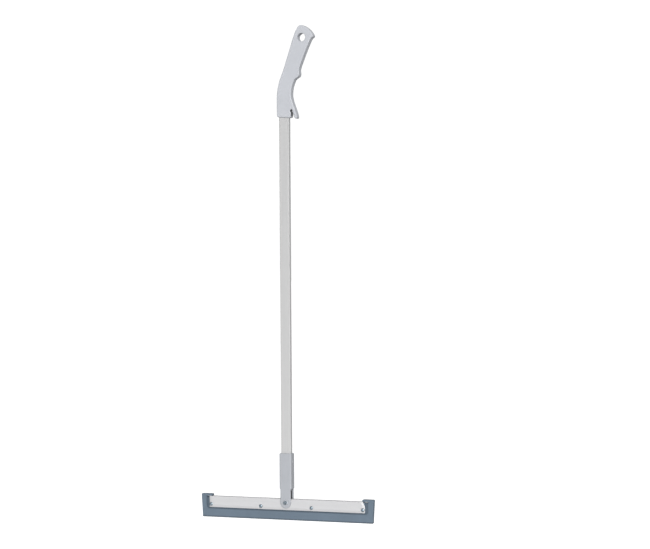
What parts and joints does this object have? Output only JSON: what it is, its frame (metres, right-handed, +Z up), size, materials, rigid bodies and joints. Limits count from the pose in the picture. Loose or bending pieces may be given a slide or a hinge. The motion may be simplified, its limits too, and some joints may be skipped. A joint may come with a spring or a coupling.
{
  "type": "long-handled squeegee",
  "caption": "Long-handled squeegee: bent plastic grip with a hanging hole, rectangular aluminium pole, forked socket and a straight rubber blade head that swivels on a bolt.",
  "frame": {"origin": "middle of the blade's bottom edge, on the pole's axis", "axes": "+Z up along the pole, +X along the head towards the side that the grip bends to, the front with the bolt heads faces -Y"},
  "size_m": [0.45, 0.0355, 1.2],
  "materials": {
    "grip_plastic": "light grey moulded plastic, fine satin texture",
    "socket_plastic": "grey moulded plastic, satin",
    "pole_aluminium": "natural anodised aluminium, matt, fine lengthwise drawing lines",
    "plate_aluminium": "natural anodised aluminium, satin",
    "rivet_metal": "aluminium rivet, satin",
    "zinc_steel": "bluish zinc-plated steel",
    "nylon_white": "natural nylon",
    "nylon_black": "black nylon, matt",
    "blade_rubber": "grey-blue rubber, matt"
  },
  "bodies": {
    "pole": {"grip_front_shell": "grip_plastic", "grip_back_shell": "grip_plastic", "grip_screws": "zinc_steel", "pole_tube": "pole_aluminium", "fork_socket": "socket_plastic", "socket_rivet": "rivet_metal", "pivot_bolt": "zinc_steel", "pivot_washers": "zinc_steel", "pivot_nut": "zinc_steel", "swivel_discs": "nylon_white"},
    "head": {"pivot_bush": "zinc_steel", "pivot_block": "nylon_black", "front_plate": "plate_aluminium", "back_plate": "plate_aluminium", "rubber_blade": "blade_rubber", "blade_screws": "zinc_steel", "blade_washers": "zinc_steel", "blade_nuts": "zinc_steel"}
  },
  "joints": [
    {"name": "head_swivel", "type": "hinge", "parent": "pole", "child": "head", "pos_m": [0, 0, 0.043], "axis": [0, -1, 0], "range_deg": [-50, 50]}
  ]
}
